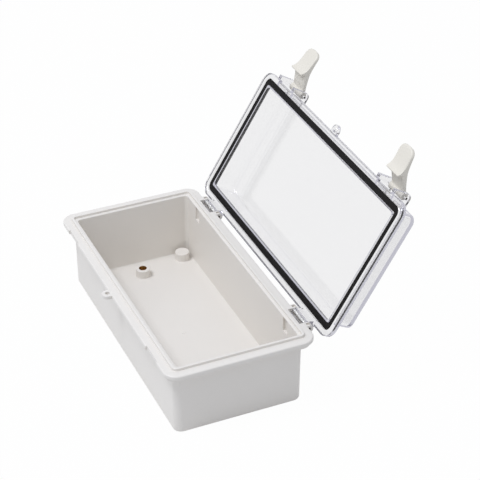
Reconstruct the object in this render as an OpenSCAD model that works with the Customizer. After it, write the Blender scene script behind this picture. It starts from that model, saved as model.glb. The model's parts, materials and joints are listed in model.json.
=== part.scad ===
// Waterproof junction box: a deep tray with a clear hinged lid, a rubber seal and two hook latches.
// Millimetres. The origin is the middle of the underside, +X runs along the box towards the right
// hinge, +Y towards the hinges and +Z up. The lid is drawn open, with both latches swung out.

/* [Box] */
// Length over the rim of the base
box_length = 200; // [160:1:320]
// Width over the rim of the base
box_width = 100; // [86:1:200]
// Height of the base, from its underside to the flat of its rim
base_height = 49.7; // [40:0.1:120]
// Height of the closed lid above the rim
lid_height = 20.3; // [16:0.1:60]
// Opening angle at which the lid's knuckles meet their stop
lid_open = 121.2; // [95:0.1:125]

/* [Base] */
// Thickness of the side walls
wall = 2.6; // [2:0.1:3.6]
// Thickness of the floor
floor_t = 2.9; // [2:0.1:5]
// How far each wall leans in from the rim to the floor
draft = 0.3; // [0:0.1:1.5]
// Outer radius of the upright corners
corner_r = 5; // [4:0.5:9]
// Radius of the edge round the underside
foot_r = 2; // [1:0.5:3.5]
// How far the rim stands out from the wall
rim_overhang = 6.8; // [6.4:0.1:9]
// Thickness of the rim
rim_t = 3; // [2.5:0.1:4]
// Corner radius of the rim
rim_corner_r = 9.2; // [7:0.1:14]
// Height of the step under the rim
step_h = 2.8; // [2:0.1:4]
// How far the step is set back from the rim's edge
step_inset = 2; // [1:0.1:3]

/* [Seal] */
// Width of the sealing tongue on the rim
tongue_w = 1.7; // [1.2:0.1:2.4]
// Height of the sealing tongue above the rim
tongue_h = 1.8; // [1:0.1:2.2]
// Distance from the rim's edge to the outer edge of the seal
seal_inset = 4.3; // [4.2:0.1:5.2]
// Width of the seal
seal_w = 4.6; // [3.2:0.1:5]
// Thickness of the seal
seal_t = 2; // [1.4:0.1:2.2]
// Radius of the seal's inner corners
seal_inner_r = 1.2; // [0.6:0.1:2]
// Gap between the relaxed seal and the tongue
seal_gap = 0.3; // [0.3:0.05:0.6]
// Clearance between the seal and the sides of its groove
seal_fit = 0.1; // [0.05:0.05:0.2]

/* [Lid] */
// How far the lid's edge is set back from the rim's edge
lid_inset = 0.8; // [0.4:0.1:2]
// Gap between the closed lid and the rim
lid_gap = 0.8; // [0.4:0.1:1]
// Thickness of the lid's flange
flange_t = 4; // [3.8:0.1:6]
// Width of the lip between the seal and the window's well
lip_w = 1; // [0.8:0.1:3]
// Thickness of the raised window and its walls
window_t = 2.4; // [2:0.1:4]
// Outer corner radius of the raised window
window_corner_r = 5; // [4:0.5:10]
// Radius of the edge round the top of the window
window_edge_r = 1.6; // [0.8:0.2:2.4]
// How far the window's walls lean in towards its top
window_draft = 0.5; // [0:0.1:1.5]

/* [Hinges and latches] */
// Distance from the rim's end to the middle of each hinge and latch
fitting_inset = 28.4; // [26:0.2:50]
// Distance of the hinge line outside the rim's edge
hinge_out = 1.35; // [1:0.05:3]
// Depth of the hinge line below the flat of the rim
hinge_drop = 2.85; // [2.6:0.05:4]
// Width of the pocket between two hinge lugs
hinge_pocket_w = 17; // [12:0.2:24]
// Width of each hinge lug
hinge_lug_w = 4.2; // [3:0.1:6]
// Radius of the lid's hinge knuckle
knuckle_r = 2.8; // [2.4:0.1:3.4]
// Radius of the hinge pins
hinge_pin_r = 1.2; // [0.8:0.1:1.5]
// Distance from the seal's edge to the front of the hinge pockets
pocket_land = 0.6; // [0.4:0.1:1.6]
// Thickness of the floor under the hinge pockets
pocket_floor_t = 1.5; // [1.2:0.1:2.5]
// How far that floor reaches outside the hinge line, where the open lid comes to rest
stop_w = 1.2; // [0.8:0.1:2]
// Distance of the lid's back edge in front of the hinge line
lid_back_gap = 1.8; // [1:0.1:3]
// Distance of the latch line inside the rim's edge
latch_inset = 0.5; // [0:0.1:1]
// Height of the latch line above the flat of the rim
latch_rise = 11.4; // [10.5:0.1:14]
// Width of each bracket lug
bracket_lug_w = 3.6; // [2.6:0.1:6]
// Radius of the bracket lugs round the latch pin
bracket_r = 3.2; // [2.6:0.1:4]
// Radius of the latch pins
latch_pin_r = 1; // [0.8:0.1:1.2]
// Radius of the lever's barrel
barrel_r = 2.6; // [2.2:0.1:3.2]
// Width of each lever
lever_w = 15; // [12:0.2:20]
// Gap on either side of a lever, between the lugs of its bracket
lever_side = 0.9; // [0.4:0.1:1.5]
// Length of the lever from the latch line to its tip
lever_length = 29.3; // [27:0.1:44]
// Thickness of the lever's neck
neck_t = 3.9; // [3:0.1:5]
// Thickness of the lever's tip
lever_t = 2.2; // [1.4:0.1:2.6]
// Corner radius of the lever's tip
lever_tip_r = 5.5; // [3:0.5:6]
// How far the tip stands out from the neck
tip_reach = 9; // [5:0.1:12]
// Slope of the finger plate at its tip, in degrees from upright
tip_angle = 34; // [20:1:45]
// How far the hook reaches under the rim's edge in the catch
hook_reach = 2.8; // [1:0.1:3]
// Thickness of the hook's nose
hook_t = 0.9; // [0.6:0.1:1.6]
// Angle from closed to open of the left latch as drawn
latch_angle_left = 66; // [45:1:90]
// Angle from closed to open of the right latch as drawn
latch_angle_right = 53; // [45:1:90]
// Gap on either side of a lever in the catch it closes into
catch_side = 1.3; // [0.6:0.1:2]
// How far the rim's edge is set back at each catch
catch_d = 0.9; // [0.6:0.1:1.4]
// Depth of the notch in the lid's edge at each lever
notch_d = 1.3; // [0.8:0.1:2]

/* [Bosses and ears] */
// Radius of the floor bosses
boss_r = 5; // [4.5:0.1:7]
// Height of the floor bosses above the floor
boss_h = 6.1; // [5:0.1:14]
// Distance from the rim's end to the boss with the brass insert
plate_boss_inset = 25.4; // [20:0.2:60]
// Distance from the rim's end to the wall screw bosses
wall_boss_inset = 16.8; // [16:0.2:40]
// Distance from the rim's side to the wall screw bosses
wall_boss_side = 16.8; // [16:0.2:40]
// Radius of the pilot holes for the wall screws
pilot_r = 1.75; // [1.2:0.05:2.4]
// Depth of the pilot holes
pilot_depth = 6.5; // [4:0.5:7]
// Outer radius of the brass inserts
insert_r = 2.8; // [2.4:0.1:3.5]
// Radius of the hole in the brass inserts
insert_hole_r = 1.65; // [1.2:0.05:2.1]
// Length of the brass inserts
insert_length = 5.5; // [4:0.5:6]
// Distance of the padlock hole outside the rim's edge
ear_out = 1.8; // [1.6:0.1:8]
// Radius of the padlock ears
ear_r = 3.7; // [3:0.1:7]
// Radius of the padlock holes
ear_hole_r = 1.5; // [1.2:0.1:1.6]
// Thickness of the padlock ears
ear_t = 2.6; // [2:0.1:4]
// Width of the shallow recesses inside the hinge wall
recess_w = 5.6; // [4:0.2:20]
// Depth of those recesses
recess_d = 1.2; // [0.4:0.1:1.4]
// Height of those recesses, measured down from the rim
recess_h = 8.4; // [6:0.2:25]

/* [Fits] */
// Side and running-round gap between moving mouldings
move_gap = 0.3; // [0.25:0.05:0.5]
// Radial clearance of a pin held in its lugs
pin_hold = 0.02; // [0.01:0.01:0.04]
// Radial clearance of a pin in the piece that turns on it
pin_run = 0.06; // [0.04:0.01:0.1]
// Gap under each knuckle and behind each barrel
turn_gap = 0.4; // [0.3:0.05:0.6]
// How far each pin stops short of the faces it passes through
pin_recess = 0.5; // [0.2:0.1:1]

/* [Hidden] */
$fn = 48;
hull_fn = 32;
over = 1;
disc_t = 0.01;
fillet_steps = [0, 30, 60, 90];
half_l = box_length / 2;
half_w = box_width / 2;
sides = [-1, 1];
fitting_x = half_l - fitting_inset;

// Base
rim_under = base_height - rim_t;
step_under = rim_under - step_h;
wall_l = half_l - rim_overhang;
wall_w = half_w - rim_overhang;
plate_boss_x = half_l - plate_boss_inset;
wall_boss_x = half_l - wall_boss_inset;
wall_boss_y = half_w - wall_boss_side;
boss_top = floor_t + boss_h;
inner_foot_r = foot_r / 2;
recess_top = 0.4;

// Hinges
hinge_y = half_w + hinge_out;
hinge_z = base_height - hinge_drop;
lug_r = hinge_drop;
pocket_front = half_w - seal_inset + pocket_land;
pocket_floor = hinge_z - knuckle_r - turn_gap;
block_under = pocket_floor - pocket_floor_t;
hinge_half = hinge_pocket_w / 2 + hinge_lug_w;
core_l = 1.9;
core_w = 2.4;
core_d = 1;
knuckle_root = 1.1;

// Seal and lid, as closed
seal_z = base_height + tongue_h + seal_gap;
seal_top = seal_z + seal_t;
seal_l = half_l - seal_inset;
seal_wd = half_w - seal_inset;
seal_corner_r = rim_corner_r - seal_inset;
tongue_inset = seal_inset + (seal_w - tongue_w) / 2;
tongue_corner_r = rim_corner_r - tongue_inset;
lid_z = base_height + lid_gap;
lid_top = base_height + lid_height;
flange_top = lid_z + flange_t;
lid_back = hinge_y - lid_back_gap;
lid_l = half_l - lid_inset;
lid_front = half_w - lid_inset;
well_inset = seal_w + seal_fit + lip_w;
well_l = seal_l - well_inset;
well_w = seal_wd - well_inset;
well_corner_r = window_corner_r - window_t;

// Latches, as closed, with the lever's points measured from the latch line
latch_y = -half_w + latch_inset;
latch_z = base_height + latch_rise;
lug_gap = lever_w / 2 + lever_side;
bracket_half = lug_gap + bracket_lug_w;
bracket_root = -latch_y - well_w - window_t / 2;
catch_half = lever_w / 2 + catch_side;
hook_s = latch_rise + rim_t + move_gap;
hook_y = catch_d + hook_reach - latch_inset;
hook_under = -hook_s - hook_t;
nose_r = hook_t / 4;
neck_share = 0.85;
neck_in = catch_d - latch_inset - turn_gap;
neck_end = [neck_in - neck_t, -neck_share * hook_s];
tip_in = [neck_in - tip_reach, -lever_length];
tip_out = tip_in + lever_t * [-cos(tip_angle), sin(tip_angle)];
nose = [hook_y - nose_r, hook_under];
throat = neck_t / 2;
barrel_join = barrel_r * [0.8, -0.6];
neck_pull = [[0, 0.4], [0.6, 0.75]];
back_pull = [[0.09, 0.22], [0.42, 0.51]];
face_pull = [[0.51, 0.36], [0.37, 0.04]];
ear_y = -half_w - ear_out;

// A rectangle from corner a to corner b with round corners
module round_rect(a, b, r) {
    translate([a.x + r, a.y])
        square([b.x - a.x - 2 * r, b.y - a.y]);
    translate([a.x, a.y + r])
        square([b.x - a.x, b.y - a.y - 2 * r]);
    for (x = [a.x + r, b.x - r], y = [a.y + r, b.y - r])
        translate([x, y])
            circle(r);
}

// An upright slab with round corners
module slab(a, b, r, z0, z1) {
    translate([0, 0, z0])
        linear_extrude(z1 - z0)
            round_rect(a, b, r);
}

// A drawn section of a mould: round corners, leaning walls and a round edge at its narrow end.
// The half sizes hold at the wide end, and flip puts the narrow end on top.
module drawn_box(half, r, edge, lean, z0, z1, flip) {
    narrow = flip ? z1 : z0;
    wide = flip ? z0 : z1;
    inward = flip ? -1 : 1;
    hull() {
        for (sx = sides, sy = sides) {
            for (a = fillet_steps) {
                ring = r - edge * (1 - sin(a));
                level = narrow + inward * edge * (1 - cos(a));
                translate([sx * (half.x - lean - r), sy * (half.y - lean - r), level])
                    cylinder(h = disc_t, r = ring, center = true, $fn = hull_fn);
            }
            translate([sx * (half.x - r), sy * (half.y - r), wide])
                cylinder(h = disc_t, r = r, center = true, $fn = hull_fn);
        }
    }
}

// A profile drawn in Y and Z, run along X
module along_x(x0, x1) {
    translate([x0, 0, 0])
        rotate([90, 0, 90])
            linear_extrude(x1 - x0)
                children();
}

// A round bar along X
module bar_x(x0, x1, r) {
    translate([x0, 0, 0])
        rotate([0, 90, 0])
            cylinder(h = x1 - x0, r = r);
}

// A padlock ear on the front edge, between two heights
module padlock_ear(z0, z1) {
    translate([0, 0, z0])
        linear_extrude(z1 - z0)
            difference() {
                union() {
                    translate([0, ear_y])
                        circle(ear_r);
                    translate([-ear_r, ear_y])
                        square([2 * ear_r, ear_out + rim_overhang]);
                }
                translate([0, ear_y])
                    circle(ear_hole_r);
            }
}

// Points on a cubic curve from a to d
function curve(a, b, c, d, n) = [
    for (i = [0 : n])
        let (t = i / n)
            a * pow(1 - t, 3) + 3 * b * t * pow(1 - t, 2) + 3 * c * pow(t, 2) * (1 - t) + d * pow(t, 3)
];

// Where the lid and what it carries stand when the lid is open
module lid_opened() {
    translate([0, hinge_y, hinge_z])
        rotate([-lid_open, 0, 0])
            translate([0, -hinge_y, -hinge_z])
                children();
}

// Where a latch stands on the open lid, swung out by an angle
module latch_opened(side, angle) {
    lid_opened()
        translate([side * fitting_x, latch_y, latch_z])
            rotate([-angle, 0, 0])
                children();
}

// Base

module rim() {
    slab([-half_l, -half_w], [half_l, half_w], rim_corner_r, rim_under, base_height);
    slab([-half_l + step_inset, -half_w + step_inset], [half_l - step_inset, half_w - step_inset],
        rim_corner_r - step_inset, step_under, base_height - rim_t / 2);
    tongue_l = half_l - tongue_inset;
    tongue_wd = half_w - tongue_inset;
    slab([-tongue_l, -tongue_wd], [tongue_l, tongue_wd], tongue_corner_r,
        base_height - rim_t / 2, base_height + tongue_h);
}

// The flat inside the sealing tongue, and the catches for the two hooks
module rim_cuts() {
    inner_l = half_l - tongue_inset - tongue_w;
    inner_w = half_w - tongue_inset - tongue_w;
    slab([-inner_l, -inner_w], [inner_l, inner_w], max(tongue_corner_r - tongue_w, seal_inner_r),
        base_height, base_height + tongue_h + over);
    for (s = sides) {
        translate([s * fitting_x - catch_half, -half_w - over, step_under - over])
            cube([2 * catch_half, rim_overhang + over, step_h + over]);
        translate([s * fitting_x - catch_half, -half_w - over, step_under])
            cube([2 * catch_half, catch_d + over, base_height]);
    }
}

module hinge_blocks() {
    for (s = sides) {
        translate([s * fitting_x, 0, 0])
            along_x(-hinge_half, hinge_half) {
                translate([wall_w - wall / 2, block_under])
                    square([pocket_front - wall_w + wall / 2, rim_under + rim_t / 2 - block_under]);
                translate([wall_w - wall / 2, block_under])
                    square([hinge_y + stop_w - wall_w + wall / 2, pocket_floor_t]);
            }
        for (e = sides)
            translate([s * fitting_x + e * (hinge_pocket_w + hinge_lug_w) / 2 - hinge_lug_w / 2, 0, 0])
                along_x(0, hinge_lug_w) {
                    translate([hinge_y, hinge_z])
                        circle(lug_r);
                    translate([wall_w, block_under])
                        square([hinge_y - wall_w, base_height - block_under]);
                }
    }
}

module hinge_pockets() {
    for (s = sides) {
        translate([s * fitting_x - hinge_pocket_w / 2, pocket_front, pocket_floor])
            cube([hinge_pocket_w, half_w, base_height]);
        translate([s * fitting_x - hinge_half - over, hinge_y, hinge_z])
            bar_x(0, 2 * (hinge_half + over), hinge_pin_r + pin_hold);
        for (e = sides)
            translate([s * fitting_x + e * (hinge_pocket_w + hinge_lug_w) / 2 - core_l / 2,
                hinge_y - core_w / 2, base_height - core_d])
                cube([core_l, core_w, core_d + over]);
    }
}

module wall_recesses() {
    for (s = sides)
        translate([s * fitting_x - recess_w / 2, wall_w - wall - over, base_height - recess_h])
            cube([recess_w, recess_d + over, recess_h - recess_top]);
}

module bosses() {
    for (s = sides) {
        translate([s * plate_boss_x, 0, floor_t / 2])
            cylinder(h = boss_top - floor_t / 2, r = boss_r);
        for (t = sides)
            translate([s * wall_boss_x, t * wall_boss_y, floor_t / 2])
                cylinder(h = boss_top - floor_t / 2, r = boss_r);
    }
}

module boss_holes() {
    for (s = sides) {
        translate([s * plate_boss_x, 0, boss_top - insert_length])
            cylinder(h = insert_length + over, r = insert_r + pin_hold);
        for (t = sides)
            translate([s * wall_boss_x, t * wall_boss_y, -over])
                cylinder(h = pilot_depth + over, r = pilot_r);
    }
}

module base_shell() {
    color("gainsboro")
        difference() {
            union() {
                difference() {
                    union() {
                        drawn_box([wall_l, wall_w], corner_r, foot_r, draft,
                            0, base_height - rim_t / 2, false);
                        difference() {
                            rim();
                            rim_cuts();
                        }
                        hinge_blocks();
                    }
                    drawn_box([wall_l - wall, wall_w - wall], corner_r - wall, inner_foot_r, draft,
                        floor_t, base_height + tongue_h + over, false);
                    hinge_pockets();
                    wall_recesses();
                }
                padlock_ear(base_height - ear_t, base_height);
                bosses();
            }
            boss_holes();
        }
}

// Hinge pins

module hinge_pin(side) {
    color("silver")
        translate([side * fitting_x, hinge_y, hinge_z])
            bar_x(-hinge_half + pin_recess, hinge_half - pin_recess, hinge_pin_r);
}

// Lid

module seal_ring(grow, z0, z1) {
    inner_l = seal_l - seal_w - grow;
    inner_w = seal_wd - seal_w - grow;
    difference() {
        slab([-seal_l - grow, -seal_wd - grow], [seal_l + grow, seal_wd + grow],
            seal_corner_r + grow, z0, z1);
        slab([-inner_l, -inner_w], [inner_l, inner_w], seal_inner_r - grow, z0 - over, z1 + over);
    }
}

// The stop face of each knuckle lies flat on the pocket's floor when the lid is fully open
module knuckles() {
    reach = [sin(lid_open), -cos(lid_open)];
    top = flange_top - hinge_z;
    root = knuckle_r + knuckle_root;
    half = hinge_pocket_w / 2 - move_gap;
    for (s = sides)
        translate([s * fitting_x, hinge_y, hinge_z])
            along_x(-half, half) {
                circle(knuckle_r);
                polygon([knuckle_r * reach, [(knuckle_r - reach.y * top) / reach.x, top], [-root, top],
                    [-root, lid_z - hinge_z], [-knuckle_r, 0], [0, 0]]);
            }
}

// Each lug is an upright plate from the flange's underside to the latch line
module latch_brackets() {
    low = lid_z - latch_z;
    for (s = sides, e = sides)
        translate([s * fitting_x + e * (lug_gap + bracket_lug_w / 2) - bracket_lug_w / 2, latch_y, latch_z])
            along_x(0, bracket_lug_w) {
                circle(bracket_r);
                polygon([[-bracket_r, 0], [-bracket_r, low], [bracket_root, low], [bracket_root, bracket_r],
                    [0, bracket_r]]);
            }
}

module lid_bores() {
    for (s = sides) {
        translate([s * fitting_x - hinge_half, hinge_y, hinge_z])
            bar_x(0, 2 * hinge_half, hinge_pin_r + pin_run);
        translate([s * fitting_x, latch_y, latch_z])
            bar_x(-bracket_half - over, bracket_half + over, latch_pin_r + pin_hold);
    }
}

module lid_cover() {
    color("aliceblue", 0.4)
        lid_opened()
            difference() {
                union() {
                    difference() {
                        slab([-lid_l, -lid_front], [lid_l, lid_back], rim_corner_r - lid_inset,
                            lid_z, flange_top);
                        for (s = sides)
                            translate([s * fitting_x - lug_gap, -lid_front - over, lid_z - over])
                                cube([2 * lug_gap, notch_d + over, flange_t + 2 * over]);
                    }
                    drawn_box([well_l + window_t, well_w + window_t], window_corner_r, window_edge_r,
                        window_draft, lid_z + flange_t / 2, lid_top, true);
                    knuckles();
                    latch_brackets();
                    padlock_ear(lid_z, lid_z + ear_t);
                }
                drawn_box([well_l, well_w], well_corner_r, window_edge_r / 2, window_draft,
                    lid_z - over, lid_top - window_t, true);
                seal_ring(seal_fit, lid_z - over, seal_top);
                lid_bores();
            }
}

module lid_seal() {
    color("#262424")
        lid_opened()
            seal_ring(0, seal_z, seal_top);
}

// Latches

// A point between a and b, at its own share of the way in each direction
function between(a, b, share) = [a.x + (b.x - a.x) * share.x, a.y + (b.y - a.y) * share.y];

// Side profile of a lever, hanging down from the latch line with its hook towards the box
function lever_back() = concat(
    curve([-barrel_r, 0], between([-barrel_r, 0], neck_end, neck_pull[0]),
        between([-barrel_r, 0], neck_end, neck_pull[1]), neck_end, 6),
    curve(neck_end, between(neck_end, tip_out, back_pull[0]), between(neck_end, tip_out, back_pull[1]),
        tip_out, 8)
);

function lever_face() = concat(
    curve(tip_in, between(nose, tip_in, face_pull[0]), between(nose, tip_in, face_pull[1]), nose, 10),
    [[hook_y, hook_under + nose_r], [hook_y, -hook_s - nose_r], [hook_y - nose_r, -hook_s]]
);

function lever_neck() = concat(
    curve([neck_in + throat, -hook_s], [neck_in, -hook_s], [neck_in, -hook_s],
        [neck_in, throat - hook_s], 4),
    curve([neck_in, -2 * barrel_r], [neck_in, -barrel_r], [neck_in, -barrel_r], barrel_join, 4),
    [[0, 0]]
);

// The space a lever fills seen square to its finger plate, with round corners at its tip
module lever_outline() {
    translate([0, tip_in.x, tip_in.y])
        rotate([90 - tip_angle, 0, 0])
            linear_extrude(2 * lever_length, center = true)
                round_rect([-lever_w / 2, 0], [lever_w / 2, 2 * lever_length], lever_tip_r);
}

module latch_lever(side, angle) {
    color("#e6e3dc")
        latch_opened(side, angle)
            difference() {
                union() {
                    bar_x(-lever_w / 2, lever_w / 2, barrel_r);
                    intersection() {
                        along_x(-lever_w / 2, lever_w / 2)
                            polygon(concat(lever_back(), lever_face(), lever_neck()));
                        lever_outline();
                    }
                }
                bar_x(-lever_w / 2 - over, lever_w / 2 + over, latch_pin_r + pin_run);
            }
}

module latch_pin(side) {
    color("silver")
        latch_opened(side, 0)
            bar_x(-bracket_half + pin_recess, bracket_half - pin_recess, latch_pin_r);
}

// Brass inserts

module plate_insert(side) {
    color("darkgoldenrod")
        translate([side * plate_boss_x, 0, boss_top - insert_length])
            difference() {
                cylinder(h = insert_length, r = insert_r);
                translate([0, 0, -over])
                    cylinder(h = insert_length + 2 * over, r = insert_hole_r);
            }
}

base_shell();
lid_cover();
lid_seal();
hinge_pin(-1);  // hinge_pin_left
hinge_pin(1);  // hinge_pin_right
latch_lever(-1, latch_angle_left);  // latch_lever_left
latch_lever(1, latch_angle_right);  // latch_lever_right
latch_pin(-1);  // latch_pin_left
latch_pin(1);  // latch_pin_right
plate_insert(-1);  // plate_insert_left
plate_insert(1);  // plate_insert_right
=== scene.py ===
import json
import math

import bmesh
import bpy
import numpy as np
from mathutils import Matrix, Vector


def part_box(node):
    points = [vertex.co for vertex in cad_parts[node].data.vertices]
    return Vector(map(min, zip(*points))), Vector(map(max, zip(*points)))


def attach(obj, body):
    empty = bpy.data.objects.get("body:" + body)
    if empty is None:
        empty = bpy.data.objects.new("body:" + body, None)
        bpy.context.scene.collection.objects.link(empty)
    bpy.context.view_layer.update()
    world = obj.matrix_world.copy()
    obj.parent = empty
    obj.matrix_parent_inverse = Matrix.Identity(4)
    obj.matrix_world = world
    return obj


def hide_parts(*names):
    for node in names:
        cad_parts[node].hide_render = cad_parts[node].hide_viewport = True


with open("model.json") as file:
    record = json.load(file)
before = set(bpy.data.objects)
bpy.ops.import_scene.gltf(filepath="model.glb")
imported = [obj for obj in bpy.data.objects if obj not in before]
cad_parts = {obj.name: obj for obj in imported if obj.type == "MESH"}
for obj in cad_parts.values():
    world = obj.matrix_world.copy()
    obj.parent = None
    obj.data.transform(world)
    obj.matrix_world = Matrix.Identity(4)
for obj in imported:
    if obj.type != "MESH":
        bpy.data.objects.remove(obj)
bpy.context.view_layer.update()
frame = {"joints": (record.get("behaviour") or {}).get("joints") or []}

# Base tray: one injection moulding in pale grey plastic, with upright walls, a wide flat rim and
# a sealing tongue round it. The hinge lugs, the catches for the latches, the padlock ear and the
# screw bosses are moulded on, and the mould leaves a gate mark in the middle of the floor.
mm = 0.001
sides = (-1, 1)
joints = {joint["name"]: joint for joint in frame["joints"]}
_, hinge_y, hinge_z = joints["lid_hinge"]["pos_m"]

half_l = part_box("base_shell")[1].x
hinge_out, hinge_drop = 1.35 * mm, 2.85 * mm
half_w = hinge_y - hinge_out
base_height = hinge_z + hinge_drop
rim_overhang, rim_t, rim_corner_r = 6.8 * mm, 3 * mm, 9.2 * mm
step_h, step_inset = 2.8 * mm, 2 * mm
wall, floor_t, draft = 2.6 * mm, 2.9 * mm, 0.3 * mm
corner_r, foot_r, inner_foot_r = 5 * mm, 2 * mm, 1 * mm
tongue_w, tongue_h, tongue_inset = 1.7 * mm, 1.8 * mm, 5.75 * mm
rim_under = base_height - rim_t
step_under = rim_under - step_h
wall_y = half_w - rim_overhang

# Shapes that are joined or cut reach past each other by the sink, or keep a hair off a shared plane
sink, hair = 1 * mm, 0.01 * mm
press_gap = 2 * hair


def ring(half_x, front, back, corner, z, steps=10):
    """Points round a level rectangle with round corners."""
    points = []
    for sx, y, start in ((1, back, 0), (-1, back, 90), (-1, front, 180), (1, front, 270)):
        inward = -1 if y == back else 1
        for step in range(steps + 1):
            angle = math.radians(start + 90 * step / steps)
            points.append((sx * (half_x - corner) + corner * math.cos(angle),
                           y + inward * corner + corner * math.sin(angle), z))
    return points


def round_off(stations, closed=False, steps=5):
    """A profile's stations, each (half length, front, back, corner, height, edge radius), as rings:
    a station with an edge radius becomes an arc between its neighbours."""
    rings = []
    for i, station in enumerate(stations):
        here, radius = np.array(station[:-1]), station[-1]
        if radius == 0 or not (closed or 0 < i < len(stations) - 1):
            rings.append(ring(*here))
            continue
        arms = []
        for other in (stations[i - 1], stations[(i + 1) % len(stations)]):
            arm = np.array(other[:-1]) - here
            arms.append(arm / math.hypot(arm[0], arm[-1]))
        turn = math.acos(arms[0][0] * arms[1][0] + arms[0][-1] * arms[1][-1])
        sweep = math.pi - turn
        reach, centre = radius / math.tan(turn / 2), radius / math.sin(turn)
        for step in range(steps + 1):
            near = math.sin((1 - step / steps) * sweep) / math.sin(sweep)
            far = math.sin(step / steps * sweep) / math.sin(sweep)
            first = centre + near * (reach - centre) - far * centre
            second = centre - near * centre + far * (reach - centre)
            rings.append(ring(*(here + first * arms[0] + second * arms[1])))
    return rings


def solid(name, shape):
    """A finished mesh as an object, with its faces turned outwards."""
    bmesh.ops.remove_doubles(shape, verts=shape.verts, dist=hair / 10)
    bmesh.ops.recalc_face_normals(shape, faces=shape.faces)
    mesh = bpy.data.meshes.new(name)
    shape.to_mesh(mesh)
    shape.free()
    made = bpy.data.objects.new(name, mesh)
    bpy.context.scene.collection.objects.link(made)
    return made


def loft(name, rings, closed=False):
    """A skin over rings of points, capped at both ends or closed on itself."""
    shape = bmesh.new()
    loops = [[shape.verts.new(point) for point in points] for points in rings]
    pairs = list(zip(loops, loops[1:])) + ([(loops[-1], loops[0])] if closed else [])
    for low, high in pairs:
        for i in range(len(low)):
            j = (i + 1) % len(low)
            shape.faces.new((low[i], low[j], high[j], high[i]))
    if not closed:
        shape.faces.new(loops[0])
        shape.faces.new(loops[-1])
    return solid(name, shape)


def arc(centre, radius, start, end, steps=12):
    """Points on an arc in a plane, angles in degrees."""
    angles = [math.radians(start + (end - start) * i / steps) for i in range(steps + 1)]
    return [(centre[0] + radius * math.cos(a), centre[1] + radius * math.sin(a)) for a in angles]


def circle(centre, radius, count=24):
    """Points all the way round a hole."""
    return arc(centre, radius, 0, 360 - 360 / count, count - 1)


def box_outline(u0, u1, v0, v1):
    """A plain rectangle."""
    return [(u0, v0), (u1, v0), (u1, v1), (u0, v1)]


def shrunk(outline, depth):
    """An outline, drawn anticlockwise, moved inwards by a depth."""
    moved = []
    for i, here in enumerate(outline):
        normals = []
        for a, b in ((outline[i - 1], here), (here, outline[(i + 1) % len(outline)])):
            length = math.hypot(b[0] - a[0], b[1] - a[1])
            normals.append(((a[1] - b[1]) / length, (b[0] - a[0]) / length))
        (ax, ay), (bx, by) = normals
        scale = depth / (1 + ax * bx + ay * by)
        moved.append((here[0] + scale * (ax + bx), here[1] + scale * (ay + by)))
    return moved


def prism(name, outline, start, end, edge, along, steps=3):
    """An outline run along X (drawn in Y and Z) or along Z (drawn in X and Y), its ends rounded."""
    stages = []
    for i in range(steps + 1):
        angle = math.pi / 2 * i / steps
        stages.append((edge * (1 - math.cos(angle)), edge * (1 - math.sin(angle))))
    ends = [(start + out, depth) for out, depth in stages]
    ends += [(end - out, depth) for out, depth in reversed(stages)]
    rings = []
    for place, depth in ends:
        flat = shrunk(outline, depth)
        rings.append([(place, u, v) if along == "X" else (u, v, place) for u, v in flat])
    return loft(name, rings)


def bar(name, outline, middle, half, edge):
    """A prism along X, equally long on both sides of its middle."""
    return prism(name, outline, middle - half, middle + half, edge, "X")


def turned(name, outline, origin, along="Z", steps=48):
    """An outline of (radius, place) points, closed on itself, turned round an axis."""
    shape = bmesh.new()
    columns = []
    for i in range(steps):
        angle = 2 * math.pi * i / steps
        column = []
        for radius, place in outline:
            u, v = radius * math.cos(angle), radius * math.sin(angle)
            column.append(shape.verts.new((place, u, v) if along == "X" else (u, v, place)))
        columns.append(column)
    for i, column in enumerate(columns):
        after = columns[(i + 1) % steps]
        for k in range(len(outline)):
            m = (k + 1) % len(outline)
            if outline[k][0] or outline[m][0]:
                shape.faces.new((column[k], after[k], after[m], column[m]))
    bmesh.ops.translate(shape, verts=shape.verts, vec=origin)
    bmesh.ops.remove_doubles(shape, verts=shape.verts, dist=hair)
    bmesh.ops.dissolve_degenerate(shape, dist=hair / 10, edges=shape.edges)
    return solid(name, shape)


def shape_with(target, tool, operation):
    """Works a tool's volume into a piece, and throws the tool away."""
    step = target.modifiers.new("step", "BOOLEAN")
    step.object, step.operation, step.solver = tool, operation, "EXACT"
    view = bpy.context.evaluated_depsgraph_get()
    mesh = bpy.data.meshes.new_from_object(target.evaluated_get(view))
    target.modifiers.clear()
    target.data = mesh
    bpy.data.objects.remove(tool)


def add(target, tool):
    """Joins a tool's volume to a piece."""
    shape_with(target, tool, "UNION")


def cut(target, tool):
    """Takes a tool's volume out of a piece."""
    shape_with(target, tool, "DIFFERENCE")


def smooth(piece, sharp_over=38):
    """Smooth shading that keeps flats flat and edges sharp over an angle in degrees."""
    piece.data.shade_smooth()
    piece.data.set_sharp_from_angle(angle=math.radians(sharp_over))
    weighted = piece.modifiers.new("flats", "WEIGHTED_NORMAL")
    weighted.keep_sharp = True


def base_station(inset, corner, z, edge):
    """A station set in equally on all four sides from the rim's outer edge."""
    return half_l - inset, inset - half_w, half_w - inset, corner, z, edge


# The skins of tray and lid close with flat ends, this far in from their walls
cap_inset = 12 * mm


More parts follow.
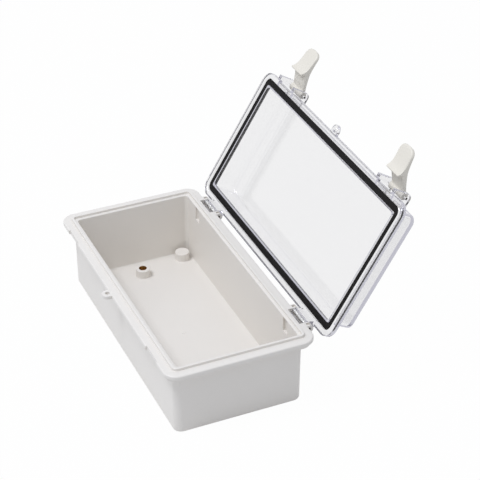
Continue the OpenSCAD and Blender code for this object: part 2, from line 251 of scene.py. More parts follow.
def tray_body():
    """The walls, step, rim and tongue as one profile, from the underside round to the inner floor."""
    wall_inner = rim_overhang + wall
    tongue_inner = tongue_inset + tongue_w
    tongue_top = base_height + tongue_h
    step_root_r, step_edge_r, wall_top_r = 0.6 * mm, 0.5 * mm, 0.5 * mm
    rim_root_r, rim_low_r, rim_top_r = 0.3 * mm, 0.6 * mm, 0.9 * mm
    tongue_root_r, tongue_top_r = 0.2 * mm, 0.35 * mm
    return loft("base_tray", round_off([
        base_station(rim_overhang + cap_inset, corner_r, 0, 0),
        base_station(rim_overhang + draft, corner_r, 0, foot_r),
        base_station(rim_overhang, corner_r, step_under, step_root_r),
        base_station(step_inset, rim_corner_r - step_inset, step_under, step_edge_r),
        base_station(step_inset, rim_corner_r - step_inset, rim_under, rim_root_r),
        base_station(0, rim_corner_r, rim_under, rim_low_r),
        base_station(0, rim_corner_r, base_height, rim_top_r),
        base_station(tongue_inset, rim_corner_r - tongue_inset, base_height, tongue_root_r),
        base_station(tongue_inset, rim_corner_r - tongue_inset, tongue_top, tongue_top_r),
        base_station(tongue_inner, rim_corner_r - tongue_inner, tongue_top, tongue_top_r),
        base_station(tongue_inner, rim_corner_r - tongue_inner, base_height, tongue_root_r),
        base_station(wall_inner, corner_r - wall, base_height, wall_top_r),
        base_station(wall_inner + draft, corner_r - wall, floor_t, inner_foot_r),
        base_station(wall_inner + cap_inset, corner_r - wall, floor_t, 0),
    ]))


tray = tray_body()
fitting_x = half_l - 28.4 * mm

# The hinge lugs stand on a block under the rim, with a pocket for the lid's knuckle between them.
# Each lug has a small moulding pit on top, and the wall's inner face has a tall recess at each hinge.
hinge_pocket_w, hinge_lug_w, hinge_pin_r = 17 * mm, 4.2 * mm, 1.2 * mm
hinge_half = hinge_pocket_w / 2 + hinge_lug_w
knuckle_r, turn_gap = 2.8 * mm, 0.4 * mm
block_t, stop_w, lug_edge = 1.5 * mm, 1.2 * mm, 0.3 * mm
pocket_front = half_w - 3.7 * mm
pocket_floor = hinge_z - knuckle_r - turn_gap
block_under = pocket_floor - block_t
pit_l, pit_w, pit_d, pit_edge = 1.9 * mm, 2.4 * mm, 1.5 * mm, 0.2 * mm
recess_w, recess_d, recess_h = 6.2 * mm, 1.6 * mm, 10.8 * mm
recess_top, recess_edge = 0.4 * mm, 0.4 * mm
block_outline = box_outline(wall_y - sink, pocket_front + sink, block_under, rim_under + rim_t / 2)
stop_outline = box_outline(wall_y - sink, hinge_y + stop_w, block_under, pocket_floor)
lug_outline = ([(wall_y - sink, block_under), (hinge_y, block_under)]
               + arc((hinge_y, hinge_z), hinge_drop - hair, -90, 90)
               + [(wall_y - sink, base_height - hair)])
pocket_outline = box_outline(pocket_front, half_w + 2 * rim_overhang,
                             pocket_floor + hair, base_height + sink)
pit_outline = box_outline(hinge_y - pit_w / 2, hinge_y + pit_w / 2, base_height - pit_d, base_height + sink)
recess_outline = box_outline(wall_y - wall - sink, wall_y - wall + recess_d,
                             base_height - recess_h, base_height - recess_top)
hinge_bore = circle((hinge_y, hinge_z), hinge_pin_r + press_gap)
for s in sides:
    middle = s * fitting_x
    lugs = [middle + e * (hinge_pocket_w + hinge_lug_w) / 2 for e in sides]
    for outline in (block_outline, stop_outline):
        add(tray, bar("block", outline, middle, hinge_half - hair, lug_edge))
    for lug in lugs:
        add(tray, bar("lug", lug_outline, lug, hinge_lug_w / 2, lug_edge))
    cut(tray, bar("pocket", pocket_outline, middle, hinge_pocket_w / 2, lug_edge))
    cut(tray, bar("bore", hinge_bore, middle, hinge_half + sink, hair))
    for lug in lugs:
        cut(tray, bar("pit", pit_outline, lug, pit_l / 2, pit_edge))
    cut(tray, bar("recess", recess_outline, middle, recess_w / 2, recess_edge))

# Each latch closes into a catch, where the rim is set back and the step under it is left out
catch_w, catch_d, catch_edge = 17.6 * mm, 0.9 * mm, 0.2 * mm
for s in sides:
    for outline in (box_outline(-half_w - sink, -half_w + catch_d, step_under - sink, base_height + sink),
                    box_outline(-half_w - sink, -wall_y, step_under - sink, rim_under)):
        cut(tray, bar("catch", outline, s * fitting_x, catch_w / 2, catch_edge))

# The padlock ear is a small round lug with a hole, level with the rim
ear_y, ear_r, ear_hole_r = -half_w - 1.8 * mm, 3.7 * mm, 1.5 * mm
ear_t, ear_edge = 2.6 * mm, 0.4 * mm


def padlock_ear(root, low, high):
    """The ear's outline runs back to the edge it is moulded on."""
    outline = [(ear_r, root), (-ear_r, root)] + arc((0, ear_y), ear_r, 180, 360, 20)
    ear = prism("ear", outline, low, high, ear_edge, "Z")
    hole = circle((0, ear_y), ear_hole_r)
    cut(ear, prism("hole", hole, low - sink, high + sink, hair, "Z"))
    return ear


add(tray, padlock_ear(step_inset - half_w, base_height - ear_t, base_height - hair))

# Bosses: two take the brass inserts, four are blind and take wall screws from behind
boss_r, boss_top = 5 * mm, floor_t + 6.1 * mm
boss_edge, boss_root = 0.5 * mm, 0.5 * mm
plate_boss_x = half_l - 25.4 * mm
wall_boss_x, wall_boss_y = half_l - 16.8 * mm, half_w - 16.8 * mm
insert_r, insert_length = 2.8 * mm, 5.5 * mm
insert_bottom = boss_top - insert_length
pilot_r, pilot_depth = 1.75 * mm, 6.5 * mm
boss_side = (arc((boss_r + boss_root, floor_t + boss_root), boss_root, 270, 180, 4)
             + arc((boss_r - boss_edge, boss_top - boss_edge), boss_edge, 0, 90, 4))
boss_foot = [(0, floor_t - sink), (boss_r + boss_root, floor_t - sink)]
blind_boss = boss_foot + boss_side + [(0, boss_top)]
insert_boss = boss_foot + boss_side + [
    (insert_r + press_gap, boss_top), (insert_r + press_gap, insert_bottom), (0, insert_bottom)]
pilot = [(0, -sink), (pilot_r, -sink), (pilot_r, pilot_depth - pilot_r / 2), (0, pilot_depth)]
for s in sides:
    add(tray, turned("boss", insert_boss, (s * plate_boss_x, 0, 0)))
    for t in sides:
        place = (s * wall_boss_x, t * wall_boss_y, 0)
        add(tray, turned("boss", blind_boss, place))
        cut(tray, turned("pilot", pilot, place))

# The gate mark is a low round stub with a dimple
gate_r, gate_h = 1 * mm, 0.3 * mm
gate = [(0, floor_t - sink), (gate_r + gate_h, floor_t - sink), (gate_r + gate_h, floor_t),
        (gate_r, floor_t + gate_h), (gate_r / 2, floor_t + gate_h), (0, floor_t + gate_h / 2)]
add(tray, turned("gate", gate, (0, 0, 0), steps=24))
smooth(tray)


class Wire:
    """A shader socket. Sums, products and comparisons of wires add the Math nodes that work them out."""

    def __init__(self, tree, socket=None):
        self.tree, self.socket = tree, socket

    def node(self, kind, settings=None, inputs=None, output=0):
        """A new node: its settings are made first, then its sockets' values and links."""
        made = self.tree.nodes.new("ShaderNode" + kind)
        for name, value in (settings or {}).items():
            setattr(made, name, value)
        for name, value in (inputs or {}).items():
            if isinstance(value, Wire):
                self.tree.links.new(value.socket, made.inputs[name])
            else:
                made.inputs[name].default_value = value
        return Wire(self.tree, made.outputs[output] if made.outputs else None)

    def math(self, operation, left, right):
        """A Math node on two wires or numbers."""
        return self.node("Math", {"operation": operation}, {0: left, 1: right})

    def __add__(self, other):
        return self.math("ADD", self, other)

    def __radd__(self, other):
        return self.math("ADD", other, self)

    def __sub__(self, other):
        return self.math("SUBTRACT", self, other)

    def __rsub__(self, other):
        return self.math("SUBTRACT", other, self)

    def __mul__(self, other):
        return self.math("MULTIPLY", self, other)

    def __rmul__(self, other):
        return self.math("MULTIPLY", other, self)

    def __gt__(self, other):
        return self.math("GREATER_THAN", self, other)


def bench(name):
    """An empty material and a wire to build it with."""
    material = bpy.data.materials.new(name)
    material.use_nodes = True
    material.node_tree.nodes.clear()
    return material, Wire(material.node_tree)


def noise(wire, scale, detail=2.0, stretch=(1, 1, 1)):
    """Noise over the piece's own coordinates, in features per metre."""
    place = wire.node("TexCoord", output="Object")
    if stretch != (1, 1, 1):
        place = wire.node("Mapping", inputs={"Vector": place, "Scale": stretch})
    return wire.node("TexNoise", inputs={"Vector": place, "Scale": scale, "Detail": detail})


def tint(wire, amount, low, high):
    """A colour between two, by an amount. Either one is a wire or three plain levels."""
    low, high = (end if isinstance(end, Wire) else (*end, 1) for end in (low, high))
    return wire.node("Mix", {"data_type": "RGBA"}, {0: amount, 6: low, 7: high}, output=2)


def moulded_plastic(name, shade, highlight, roughness):
    """Satin moulding: a fine spark grain, faint flow clouds and a slightly uneven gloss."""
    cloud_scale, grain_scale, gloss_scale = 18.0, 2200.0, 60.0
    grain_strength, grain_depth, gloss_swing = 0.12, 0.05 * mm, 0.1
    material, wire = bench(name)
    cloud = noise(wire, cloud_scale)
    grain = noise(wire, grain_scale, 3.0)
    rough = roughness + gloss_swing * (noise(wire, gloss_scale, 4.0) - 0.5)
    bump = wire.node("Bump", inputs={"Strength": grain_strength, "Distance": grain_depth, "Height": grain})
    shader = wire.node("BsdfPrincipled", inputs={
        "Base Color": tint(wire, cloud, shade, highlight), "Roughness": rough, "IOR": 1.53, "Normal": bump})
    wire.node("OutputMaterial", inputs={"Surface": shader})
    return material


tray_shade, tray_highlight, tray_rough = (0.79, 0.752, 0.698), (0.825, 0.787, 0.733), 0.34
tray.data.materials.append(moulded_plastic("tray_plastic", tray_shade, tray_highlight, tray_rough))
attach(tray, "base")
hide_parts("base_shell")

# Brass inserts: turned bushes with an inner thread, pressed into the two plate bosses so that
# an M4 screw can hold a back plate. Only the ring round the hole shows, level with the boss.
hands = tuple(zip(("left", "right"), sides))
insert_hole_r, thread_pitch, thread_depth = 1.65 * mm, 0.7 * mm, 0.3 * mm
insert_lead_in, insert_lip, insert_edge = 2.5 * mm, 0.25 * mm, 0.1 * mm
thread_turns = int((insert_length - insert_lead_in) / thread_pitch)
bush = [(insert_r, insert_bottom), (insert_r, boss_top - insert_edge), (insert_r - insert_edge, boss_top),
        (insert_r - insert_lip, boss_top), (insert_hole_r, boss_top - insert_lead_in)]
for turn in range(thread_turns):
    crest = boss_top - insert_lead_in - turn * thread_pitch
    bush.append((insert_hole_r + thread_depth, crest - thread_pitch / 2))
    bush.append((insert_hole_r, crest - thread_pitch))
bush.append((insert_hole_r, insert_bottom))


def turned_metal(name, shade, highlight, roughness, stretch, painted_end_shade=None):
    """Metal with fine tool marks that run one way. A rod along X has its end faces painted near black, a
    painted shade for the dark hole each end sits in.
    """
    mark_scale, mark_strength, mark_depth, gloss_swing = 900.0, 0.1, 0.03 * mm, 0.16
    end_facing = 0.8
    material, wire = bench(name)
    marks = noise(wire, mark_scale, 3.0, stretch)
    colour = tint(wire, marks, shade, highlight)
    # The end faces get a painted shade, near black, standing in for the shadow in the lug's hole; it is not
    # the steel's own colour.
    if painted_end_shade:
        facing = wire.node("SeparateXYZ", inputs={"Vector": wire.node("TexCoord", output="Normal")})
        colour = tint(wire, facing * facing > end_facing, colour, painted_end_shade)
    bump = wire.node("Bump", inputs={"Strength": mark_strength, "Distance": mark_depth, "Height": marks})
    shader = wire.node("BsdfPrincipled", inputs={
        "Base Color": colour, "Metallic": 1.0, "Roughness": roughness + gloss_swing * (marks - 0.5),
        "Normal": bump})
    wire.node("OutputMaterial", inputs={"Surface": shader})
    return material


# The brass hue is its own, but both levels sit far below bright brass: partly the metal, partly painted
# shade for the insert down in its boss.
brass_shade, brass_highlight = (0.3, 0.17, 0.06), (0.46, 0.29, 0.11)
brass = turned_metal("turned_brass", brass_shade, brass_highlight, roughness=0.2, stretch=(1, 1, 6))
for word, s in hands:
    insert = turned(f"brass_insert_{word}", bush, (s * plate_boss_x, 0, 0))
    smooth(insert)
    insert.data.materials.append(brass)
    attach(insert, "base")
    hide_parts(f"plate_insert_{word}")

# Hinge pins: drawn steel rod with chamfered ends, one through each pair of hinge lugs and the
# lid's knuckle between them. They sit a little inside the lugs' ends.
pin_recess, pin_chamfer = 0.5 * mm, 0.2 * mm
# The steel's end faces are painted near black: painted shade for the dark hole that each pin end sits in.
steel_shade, steel_highlight, painted_hole_shade = (0.72, 0.72, 0.71), (0.86, 0.86, 0.85), (0.05, 0.045, 0.04)
steel = turned_metal("drawn_steel", steel_shade, steel_highlight, roughness=0.4, stretch=(0.05, 1, 1),
                     painted_end_shade=painted_hole_shade)


def rod_outline(radius, half, chamfer):
    """Half of a rod's long section, with chamfered ends."""
    return [(0, -half), (radius - chamfer, -half), (radius, chamfer - half),
            (radius, half - chamfer), (radius - chamfer, half), (0, half)]


def steel_pin(name, radius, half, centre):
    """A rod along X."""
    pin = turned(name, rod_outline(radius, half, pin_chamfer), centre, "X", steps=32)
    smooth(pin)
    pin.data.materials.append(steel)
    return pin


for word, s in hands:
    centre = (s * fitting_x, hinge_y, hinge_z)
    pin = steel_pin(f"hinge_rod_{word}", hinge_pin_r, hinge_half - pin_recess, centre)
    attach(pin, "base")
    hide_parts(f"hinge_pin_{word}")

# Lid: one clear polycarbonate moulding, a flat flange round a raised window. A groove in the
# flange holds the seal. Knuckles for the hinge pins stand on its back edge, and lugs for the
# latch pins and a second padlock ear on its front edge. It is modelled closed, then swung open.
lid_open = joints["lid_hinge"]["range_deg"][1]
hinge_line = Vector((0, hinge_y, hinge_z))
opened = (Matrix.Translation(hinge_line) @ Matrix.Rotation(math.radians(-lid_open), 4, "X")
          @ Matrix.Translation(-hinge_line))
lid_gap, flange_t, lid_height = 0.8 * mm, 4 * mm, 20.3 * mm
lid_z = base_height + lid_gap
flange_top, lid_top = lid_z + flange_t, base_height + lid_height
lid_inset, lid_back = 0.8 * mm, hinge_y - 1.8 * mm
flange_upper_edge, flange_lower_edge = 1.2 * mm, 0.25 * mm
window_t, window_corner_r, window_draft = 2.4 * mm, 5 * mm, 0.5 * mm
window_edge_r, window_root_r = 1.6 * mm, 0.6 * mm
seal_inset, seal_w, seal_t, seal_fit = 4.5 * mm, 4.4 * mm, 2.25 * mm, 0.1 * mm
seal_gap = 0.05 * mm
seal_z = base_height + tongue_h + seal_gap
seal_top = seal_z + seal_t
seal_corner_r, seal_inner_r = rim_corner_r - seal_inset, 1.2 * mm
groove_edge, lip_edge, lip_w, lip_drop = 0.1 * mm, 0.4 * mm, 1 * mm, 0.6 * mm
well_inset = seal_inset + seal_w + seal_fit + lip_w


def lid_body():
    """The window, flange, groove and well as one profile, from the outside round to the inside."""
    window_inset = well_inset - window_t
    well_corner_r = window_corner_r - window_t
    groove_out, groove_in = seal_inset - seal_fit, seal_inset + seal_w + seal_fit
    groove_out_r, groove_in_r = seal_corner_r + seal_fit, seal_inner_r - seal_fit
    flange = (half_l - lid_inset, lid_inset - half_w, lid_back, rim_corner_r - lid_inset)
    return loft("clear_lid", round_off([
        base_station(window_inset + cap_inset, window_corner_r, lid_top, 0),
        base_station(window_inset + window_draft, window_corner_r, lid_top, window_edge_r),
        base_station(window_inset, window_corner_r, flange_top, window_root_r),
        (*flange, flange_top, flange_upper_edge),
        (*flange, lid_z, flange_lower_edge),
        base_station(groove_out, groove_out_r, lid_z, lip_edge),
        base_station(groove_out, groove_out_r, seal_top, groove_edge),
        base_station(groove_in, groove_in_r, seal_top, groove_edge),
        base_station(groove_in, groove_in_r, lid_z + lip_drop, groove_edge),
        base_station(well_inset, well_corner_r, lid_z + lip_drop, lip_edge),
        base_station(well_inset + window_draft, well_corner_r, lid_top - window_t, window_edge_r / 2),
        base_station(well_inset + cap_inset, well_corner_r, lid_top - window_t, 0),
    ]))


lid = lid_body()

# The knuckles' stop faces lie flat on the pocket's floor when the lid is fully open
move_gap, knuckle_root, knuckle_edge, run_gap = 0.3 * mm, 1.1 * mm, 0.3 * mm, 6 * hair
stop_angle = math.radians(lid_open)
stop_way = Vector((math.sin(stop_angle), -math.cos(stop_angle)))
crown = flange_top - hair - hinge_z
root = knuckle_r + knuckle_root
knuckle_outline = [(hinge_y + y, hinge_z + z) for y, z in (
    arc((0, 0), knuckle_r, 180, math.degrees(stop_angle) - 90 + 360, 18)
    + [((knuckle_r - stop_way.y * crown) / stop_way.x, crown), (-root, crown),
       (-root, lid_z + hair - hinge_z)])]
knuckle_bore = circle((hinge_y, hinge_z), hinge_pin_r + run_gap)
for s in sides:
    add(lid, bar("knuckle", knuckle_outline, s * fitting_x, hinge_pocket_w / 2 - move_gap, knuckle_edge))
    cut(lid, bar("bore", knuckle_bore, s * fitting_x, hinge_half, hair))

# Each latch turns between two upright lugs, and the flange has a shallow notch between them
latch_inset, latch_rise = 0.5 * mm, 11.4 * mm
latch_y, latch_z = latch_inset - half_w, base_height + latch_rise
lever_w, lever_side, latch_pin_r = 15 * mm, 0.9 * mm, 1 * mm
latch_lug_w, latch_lug_r, latch_lug_edge, latch_lug_sink = 3.6 * mm, 3.2 * mm, 0.5 * mm, 20 * hair
notch_d, notch_edge = 1.3 * mm, 0.2 * mm
lug_gap = lever_w / 2 + lever_side
latch_half = lug_gap + latch_lug_w
flange_root = -half_w + 4 * mm
window_middle = well_inset - window_t / 2 - half_w
lug_under = flange_top - latch_lug_sink
latch_lug_outline = (arc((latch_y, latch_z), latch_lug_r, 90, 180)
                     + [(latch_y - latch_lug_r, lid_z + hair), (flange_root, lid_z + hair),
                        (flange_root, lug_under), (window_middle, lug_under),
                        (window_middle, latch_z + latch_lug_r)])
latch_bore = circle((latch_y, latch_z), latch_pin_r + press_gap)
notch_outline = box_outline(-half_w - sink, lid_inset + notch_d - half_w, lid_z - sink, flange_top + sink)
for s in sides:
    middle = s * fitting_x
    cut(lid, bar("notch", notch_outline, middle, lug_gap, notch_edge))
    for e in sides:
        lug = middle + e * (lug_gap + latch_lug_w / 2)
        add(lid, bar("lug", latch_lug_outline, lug, latch_lug_w / 2, latch_lug_edge))
    cut(lid, bar("bore", latch_bore, middle, latch_half + sink, hair))
add(lid, padlock_ear(flange_root, lid_z + hair, lid_z + ear_t))
smooth(lid)


def ray_is(wire, *kinds):
    """One for rays of the kinds named, and nought for all others."""
    total = wire.node("LightPath", output=kinds[0])
    for kind in kinds[1:]:
        total = total + wire.node("LightPath", output=kind)
    return wire.math("MINIMUM", total, 1.0)


def blend(wire, amount, low, high):
    """A mix of two shaders, by an amount."""
    return wire.node("MixShader", inputs={"Fac": amount, 1: low, 2: high})


def clear_plastic():
    """Polycarbonate: clear, faintly violet grey through its thickness, with a slightly wavy gloss.
    A view that is caught inside gets out again, tinted once with a painted grey shade that draws lines
    along the edges, and light goes straight through."""
    clear_level, caught_painted_shade, light_level = (0.892, 0.892, 0.892), (0.64, 0.64, 0.69), (0.93, 0.93, 0.93)
    depth_shade, depth_strength = (0.6, 0.585, 0.7), 25.0
    wave_scale, wave_strength, wave_depth = 45.0, 0.06, 0.05 * mm
    rough_least, rough_swing = 0.02, 0.02
    one_bounce, no_tint_yet = 1.5, 0.5
    material, wire = bench("clear_polycarbonate")
    wave = noise(wire, wave_scale)
    bump = wire.node("Bump", inputs={"Strength": wave_strength, "Distance": wave_depth, "Height": wave})
    glossy = wire.node("BsdfPrincipled", inputs={
        "Base Color": (*clear_level, 1), "Roughness": rough_least + rough_swing * wave, "IOR": 1.5,
        "Transmission Weight": 1.0, "Normal": bump})
    # The first tint is painted shade: it draws grey lines where views are caught inside the edges, standing
    # in for reflections of darker surroundings.
    first, after, straight = (wire.node("BsdfTransparent", inputs={"Color": (*shade, 1)})
                              for shade in (caught_painted_shade, (1, 1, 1), light_level))
    caught = wire.node("LightPath", output="Glossy Depth") > one_bounce
    tinted_before = wire.node("LightPath", output="Transparent Depth") > no_tint_yet
    seen = blend(wire, caught, glossy, blend(wire, tinted_before, first, after))
    surface = blend(wire, ray_is(wire, "Is Shadow Ray", "Is Diffuse Ray"), seen, straight)
    depth = wire.node("VolumeAbsorption", inputs={"Color": (*depth_shade, 1), "Density": depth_strength})
    wire.node("OutputMaterial", inputs={"Surface": surface, "Volume": depth})
    return material


lid.data.materials.append(clear_plastic())
lid.data.transform(opened)
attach(lid, "lid")
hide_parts("lid_cover")

# Seal: a moulded ring of black rubber, pressed into the groove round the lid. Its free face is
# slightly crowned, and the rim's sealing tongue stands under it when the box is closed.
seal_air, seal_edge, seal_crown = 0.03 * mm, 0.15 * mm, 0.1 * mm
seal = loft("rubber_seal", round_off([
    base_station(seal_inset, seal_corner_r, seal_top - seal_air, seal_edge / 2),
    base_station(seal_inset, seal_corner_r, seal_z + seal_crown, seal_edge),
    base_station(seal_inset + seal_w / 2, seal_corner_r - seal_w / 2, seal_z, 2 * seal_edge),
    base_station(seal_inset + seal_w, seal_inner_r, seal_z + seal_crown, seal_edge),
    base_station(seal_inset + seal_w, seal_inner_r, seal_top - seal_air, seal_edge / 2),
], closed=True), closed=True)
smooth(seal)


def rubber():
    """Black rubber: dull, with a fine skin and a trace of dust."""
    clean_shade, dusty_shade = (0.006, 0.0054, 0.0055), (0.012, 0.011, 0.0108)
    dust_scale, skin_scale, skin_strength, skin_depth = 240.0, 3000.0, 0.1, 0.02 * mm
    rough_least, rough_swing, shine = 0.62, 0.16, 0.14
    material, wire = bench("seal_rubber")
    dust = noise(wire, dust_scale, 4.0)
    skin = noise(wire, skin_scale)
    bump = wire.node("Bump", inputs={"Strength": skin_strength, "Distance": skin_depth, "Height": skin})
    shader = wire.node("BsdfPrincipled", inputs={
        "Base Color": tint(wire, dust, clean_shade, dusty_shade), "Normal": bump,
        "Roughness": rough_least + rough_swing * dust, "Specular IOR Level": shine})
    wire.node("OutputMaterial", inputs={"Surface": shader})
    return material


seal.data.materials.append(rubber())
seal.data.transform(opened)
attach(seal, "lid")
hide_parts("lid_seal")

# Latch pins: thinner rods of the same steel, pushed through the lid's front lugs. The levers turn
# on them, and their ends sit a little inside the lugs.
# These rods carry the same painted shade on their end faces as the hinge pins.
for word, s in hands:
    centre = (s * fitting_x, latch_y, latch_z)
    pin = steel_pin(f"latch_rod_{word}", latch_pin_r, latch_half - pin_recess, centre)
    pin.data.transform(opened)
    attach(pin, "lid")
    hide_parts(f"latch_pin_{word}")

# Latch levers: moulded in a warmer white plastic. A barrel turns on the pin, the neck below it
# ends in a hook that catches under the rim, and from the hook a thin plate flares to its tip.
barrel_r, barrel_edge, neck_t, neck_share = 2.6 * mm, 0.5 * mm, 3.9 * mm, 0.85
lever_length, lever_t, lever_tip_r, lever_edge_r = 29.3 * mm, 2.2 * mm, 5.5 * mm, 1.1 * mm
hook_reach, hook_t, nose_r = 2.8 * mm, 0.9 * mm, 0.22 * mm
hook_drop = latch_rise + rim_t + move_gap
hook_y = catch_d + hook_reach - latch_inset
hook_under = -hook_drop - hook_t
neck_in = catch_d - latch_inset - turn_gap
neck_end = (neck_in - neck_t, -neck_share * hook_drop)
tip_flare, tip_angle = 9 * mm, math.radians(34)
tip_way = np.array((math.sin(tip_angle), math.cos(tip_angle)))
tip_in = np.array((neck_in - tip_flare, -lever_length))
tip_out = tip_in + lever_t * np.array((-tip_way[1], tip_way[0]))


def bend(a, b, c, d, steps):
    """Points on a cubic curve from a to d, pulled towards b and c."""
    t = np.linspace(0, 1, steps + 1)[:, None]
    a, b, c, d = (np.array(p) for p in (a, b, c, d))
    return a * (1 - t) ** 3 + 3 * b * t * (1 - t) ** 2 + 3 * c * t ** 2 * (1 - t) + d * t ** 3


def sway(a, d, near_share, far_share, steps):
    """A bend from a to d, whose pulls are shares of the way between them in either direction."""
    b, c = (tuple(a[k] + (d[k] - a[k]) * share[k] for k in (0, 1)) for share in (near_share, far_share))
    return bend(a, b, c, d, steps)


def fillet(a, corner, d, steps):
    """A bend from a to d that rounds off a corner."""
    return bend(a, corner, corner, d, steps)


def walk(points, count):
    """A number of points spread evenly along a line."""
    points = np.array(points)
    way = np.concatenate([[0], np.cumsum(np.hypot(*np.diff(points, axis=0).T))])
    places = np.linspace(0, way[-1], count)
    return np.stack([np.interp(places, way, points[:, k]) for k in (0, 1)], axis=1)


def lever_sides():
    """The hanging lever from the side, as pairs of points on its back and on its face.
    Across the hook the pairs lie level, each a little lower than the one before."""
    barrel_back, barrel_face = (-barrel_r, -0.2 * barrel_r), (0.8 * barrel_r, -0.6 * barrel_r)
    throat, nose_cut, rib_drop = neck_t / 2, 0.3 * nose_r, 2 * hair
    neck_ribs, plate_ribs = 16, 34
    neck_back = sway(barrel_back, neck_end, (0, 0.4), (0.6, 0.75), 24)
    plate_back = sway(neck_end, tip_out, (0.09, 0.22), (0.42, 0.51), 32)
    neck_face = np.vstack([
        fillet(barrel_face, (neck_in, -barrel_r), (neck_in, -2 * barrel_r), 10),
        [(neck_in, throat - hook_drop)]])
    hook_face = np.vstack([
        fillet((neck_in, throat - hook_drop), (neck_in, -hook_drop), (neck_in + throat, -hook_drop), 8),
        [(hook_y - nose_r, -hook_drop), (hook_y - nose_cut, -hook_drop - nose_cut),
         (hook_y, -hook_drop - nose_r), (hook_y, hook_under + nose_r),
         (hook_y - nose_cut, hook_under + nose_cut)]])
    plate_face = sway((hook_y - nose_r, hook_under), tip_in, (0.37, 0.04), (0.51, 0.36), 40)
    back_line = np.vstack([neck_back, plate_back[1:]])
    level = hook_face[1:, 1] - rib_drop * np.arange(1, len(hook_face))
    hook_back = np.stack([np.interp(-level, -back_line[:, 1], back_line[:, 0]), level], axis=1)
    plate_rest = plate_back[plate_back[:, 1] < level[-1] - rib_drop]
    pairs = list(zip(walk(neck_back, neck_ribs), walk(neck_face, neck_ribs)))
    pairs += list(zip(hook_back, hook_face[1:]))
    pairs += list(zip(walk(plate_rest, plate_ribs), walk(plate_face, plate_ribs)))
    return pairs


def lever_body():
    """A skin over ribs across the lever. Towards the tip the ribs get narrower and thinner."""
    side_share, face_share, edge_share = 0.4, 0.85, 0.45
    ribs = []
    for back, face in lever_sides():
        depth = math.hypot(*(face - back))
        way = (face - back) / depth
        along = max(float((face - tip_in) @ tip_way), 0)
        half, pinch = lever_w / 2, 0
        if along < lever_tip_r:
            half -= lever_tip_r - math.sqrt(lever_tip_r ** 2 - (lever_tip_r - along) ** 2)
        if along < lever_t / 2:
            pinch = lever_t / 2 - math.sqrt((lever_t / 2) ** 2 - (lever_t / 2 - along) ** 2)
        low, high = face_share * pinch, depth - face_share * pinch
        corner = min(lever_edge_r, edge_share * (high - low))
        flat = ring(half - side_share * pinch, low, high, corner, 0, steps=5)
        ribs.append([(x, *(back + t * way)) for x, t, _ in flat])
    lever = loft("lever", ribs)
    add(lever, turned("barrel", rod_outline(barrel_r, lever_w / 2, barrel_edge), (0, 0, 0), "X"))
    bore_r = latch_pin_r + run_gap
    bore = [(0, -lug_gap), (bore_r, -lug_gap), (bore_r, lug_gap), (0, lug_gap)]
    cut(lever, turned("bore", bore, (0, 0, 0), "X", steps=24))
    return lever


lever_shade, lever_highlight, lever_rough = (0.75, 0.706, 0.612), (0.795, 0.75, 0.66), 0.4
lever_plastic = moulded_plastic("lever_plastic", lever_shade, lever_highlight, lever_rough)
for word, s in hands:
    lever = lever_body()
    lever.name = f"hook_lever_{word}"
    swing = joints[f"latch_{word}_hinge"]["range_deg"][1]
    lever.data.transform(opened @ Matrix.Translation((s * fitting_x, latch_y, latch_z))
                         @ Matrix.Rotation(math.radians(-swing), 4, "X"))
    smooth(lever, sharp_over=45)
    lever.data.materials.append(lever_plastic)
    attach(lever, f"latch_{word}")
    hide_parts(f"latch_lever_{word}")

# Floor: a wide white sheet under the box. It shows as white to the camera and in the clear lid,
# and keeps a soft share of the box's own shadow.
floor_half, floor_drop = 8.0, 0.1 * mm
paper_shade, shadow_share = (0.7, 0.7, 0.7), 0.02
sheet = bmesh.new()
bmesh.ops.create_grid(sheet, x_segments=1, y_segments=1, size=floor_half)
bmesh.ops.translate(sheet, verts=sheet.verts, vec=(0, 0, -floor_drop))
floor = solid("floor_sheet", sheet)
viewing_rays = ("Is Camera Ray", "Is Glossy Ray", "Is Transmission Ray")


def white_sheet():
    """Paper that is white to whatever looks at it, and a plain grey to the light."""
    material, wire = bench("white_sheet")
    lit = wire.node("BsdfDiffuse", inputs={"Color": (*paper_shade, 1)})
    white = wire.node("Emission", inputs={"Color": (1, 1, 1, 1), "Strength": 1.0})
    share = ray_is(wire, *viewing_rays) * (1 - shadow_share)
    wire.node("OutputMaterial", inputs={"Surface": blend(wire, share, lit, white)})
    return material


floor.data.materials.append(white_sheet())

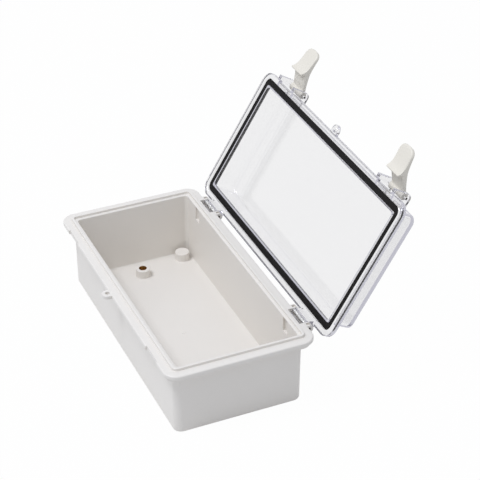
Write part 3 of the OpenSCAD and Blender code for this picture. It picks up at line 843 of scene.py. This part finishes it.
# Light: an even pale sky, and one soft lamp above the front of the box.
# The camera, mirrors and clear plastic see the sky as white.
daylight, sky_level = (0.973, 1.01, 1.092), 0.588
world = bpy.data.worlds.new("studio")
world.use_nodes = True
world.node_tree.nodes.clear()
wire = Wire(world.node_tree)
sky = wire.node("Background", inputs={"Color": (*daylight, 1), "Strength": sky_level})
white = wire.node("Background", inputs={"Color": (1, 1, 1, 1), "Strength": 1.0})
wire.node("OutputWorld", inputs={"Surface": blend(wire, ray_is(wire, *viewing_rays), sky, white)})
bpy.context.scene.world = world

lamp_from, lamp_size, lamp_power = Vector((0.03, -0.7, 1.6)), 0.5, 13.7
lamp_data = bpy.data.lights.new("soft_lamp", "AREA")
lamp_data.size, lamp_data.energy, lamp_data.color = lamp_size, lamp_power, daylight
lamp = bpy.data.objects.new("soft_lamp", lamp_data)
lamp.location = lamp_from
lamp.rotation_mode = "QUATERNION"
lamp.rotation_quaternion = (-lamp_from).to_track_quat("-Z", "Y")
bpy.context.scene.collection.objects.link(lamp)

# Camera: a long lens from the right, above the rim, with the whole open box in the frame.
# Its angles, distance and aim are those at which the box's straight edges fit the photograph.
view_azimuth, view_elevation = math.radians(66.103), math.radians(33.028)
view_distance, aim_right, aim_up = 1111.771 * mm, 37.73 * mm, 64.321 * mm
picture_px, lens_px, sensor = 480, 1664.35, 36.0
across = Vector((math.cos(view_azimuth), math.sin(view_azimuth), 0))
back = Vector((math.sin(view_azimuth) * math.cos(view_elevation),
               -math.cos(view_azimuth) * math.cos(view_elevation), math.sin(view_elevation)))
upward = back.cross(across)
camera_data = bpy.data.cameras.new("camera")
camera_data.sensor_width, camera_data.lens = sensor, lens_px * sensor / picture_px
camera_data.clip_start, camera_data.clip_end = 0.05, 50.0
camera = bpy.data.objects.new("camera", camera_data)
stand = Matrix.Translation(across * aim_right + upward * aim_up + back * view_distance)
camera.matrix_world = stand @ Matrix((across, upward, back)).transposed().to_4x4()
bpy.context.scene.collection.objects.link(camera)
bpy.context.scene.camera = camera
bpy.context.scene.view_settings.view_transform = "Standard"
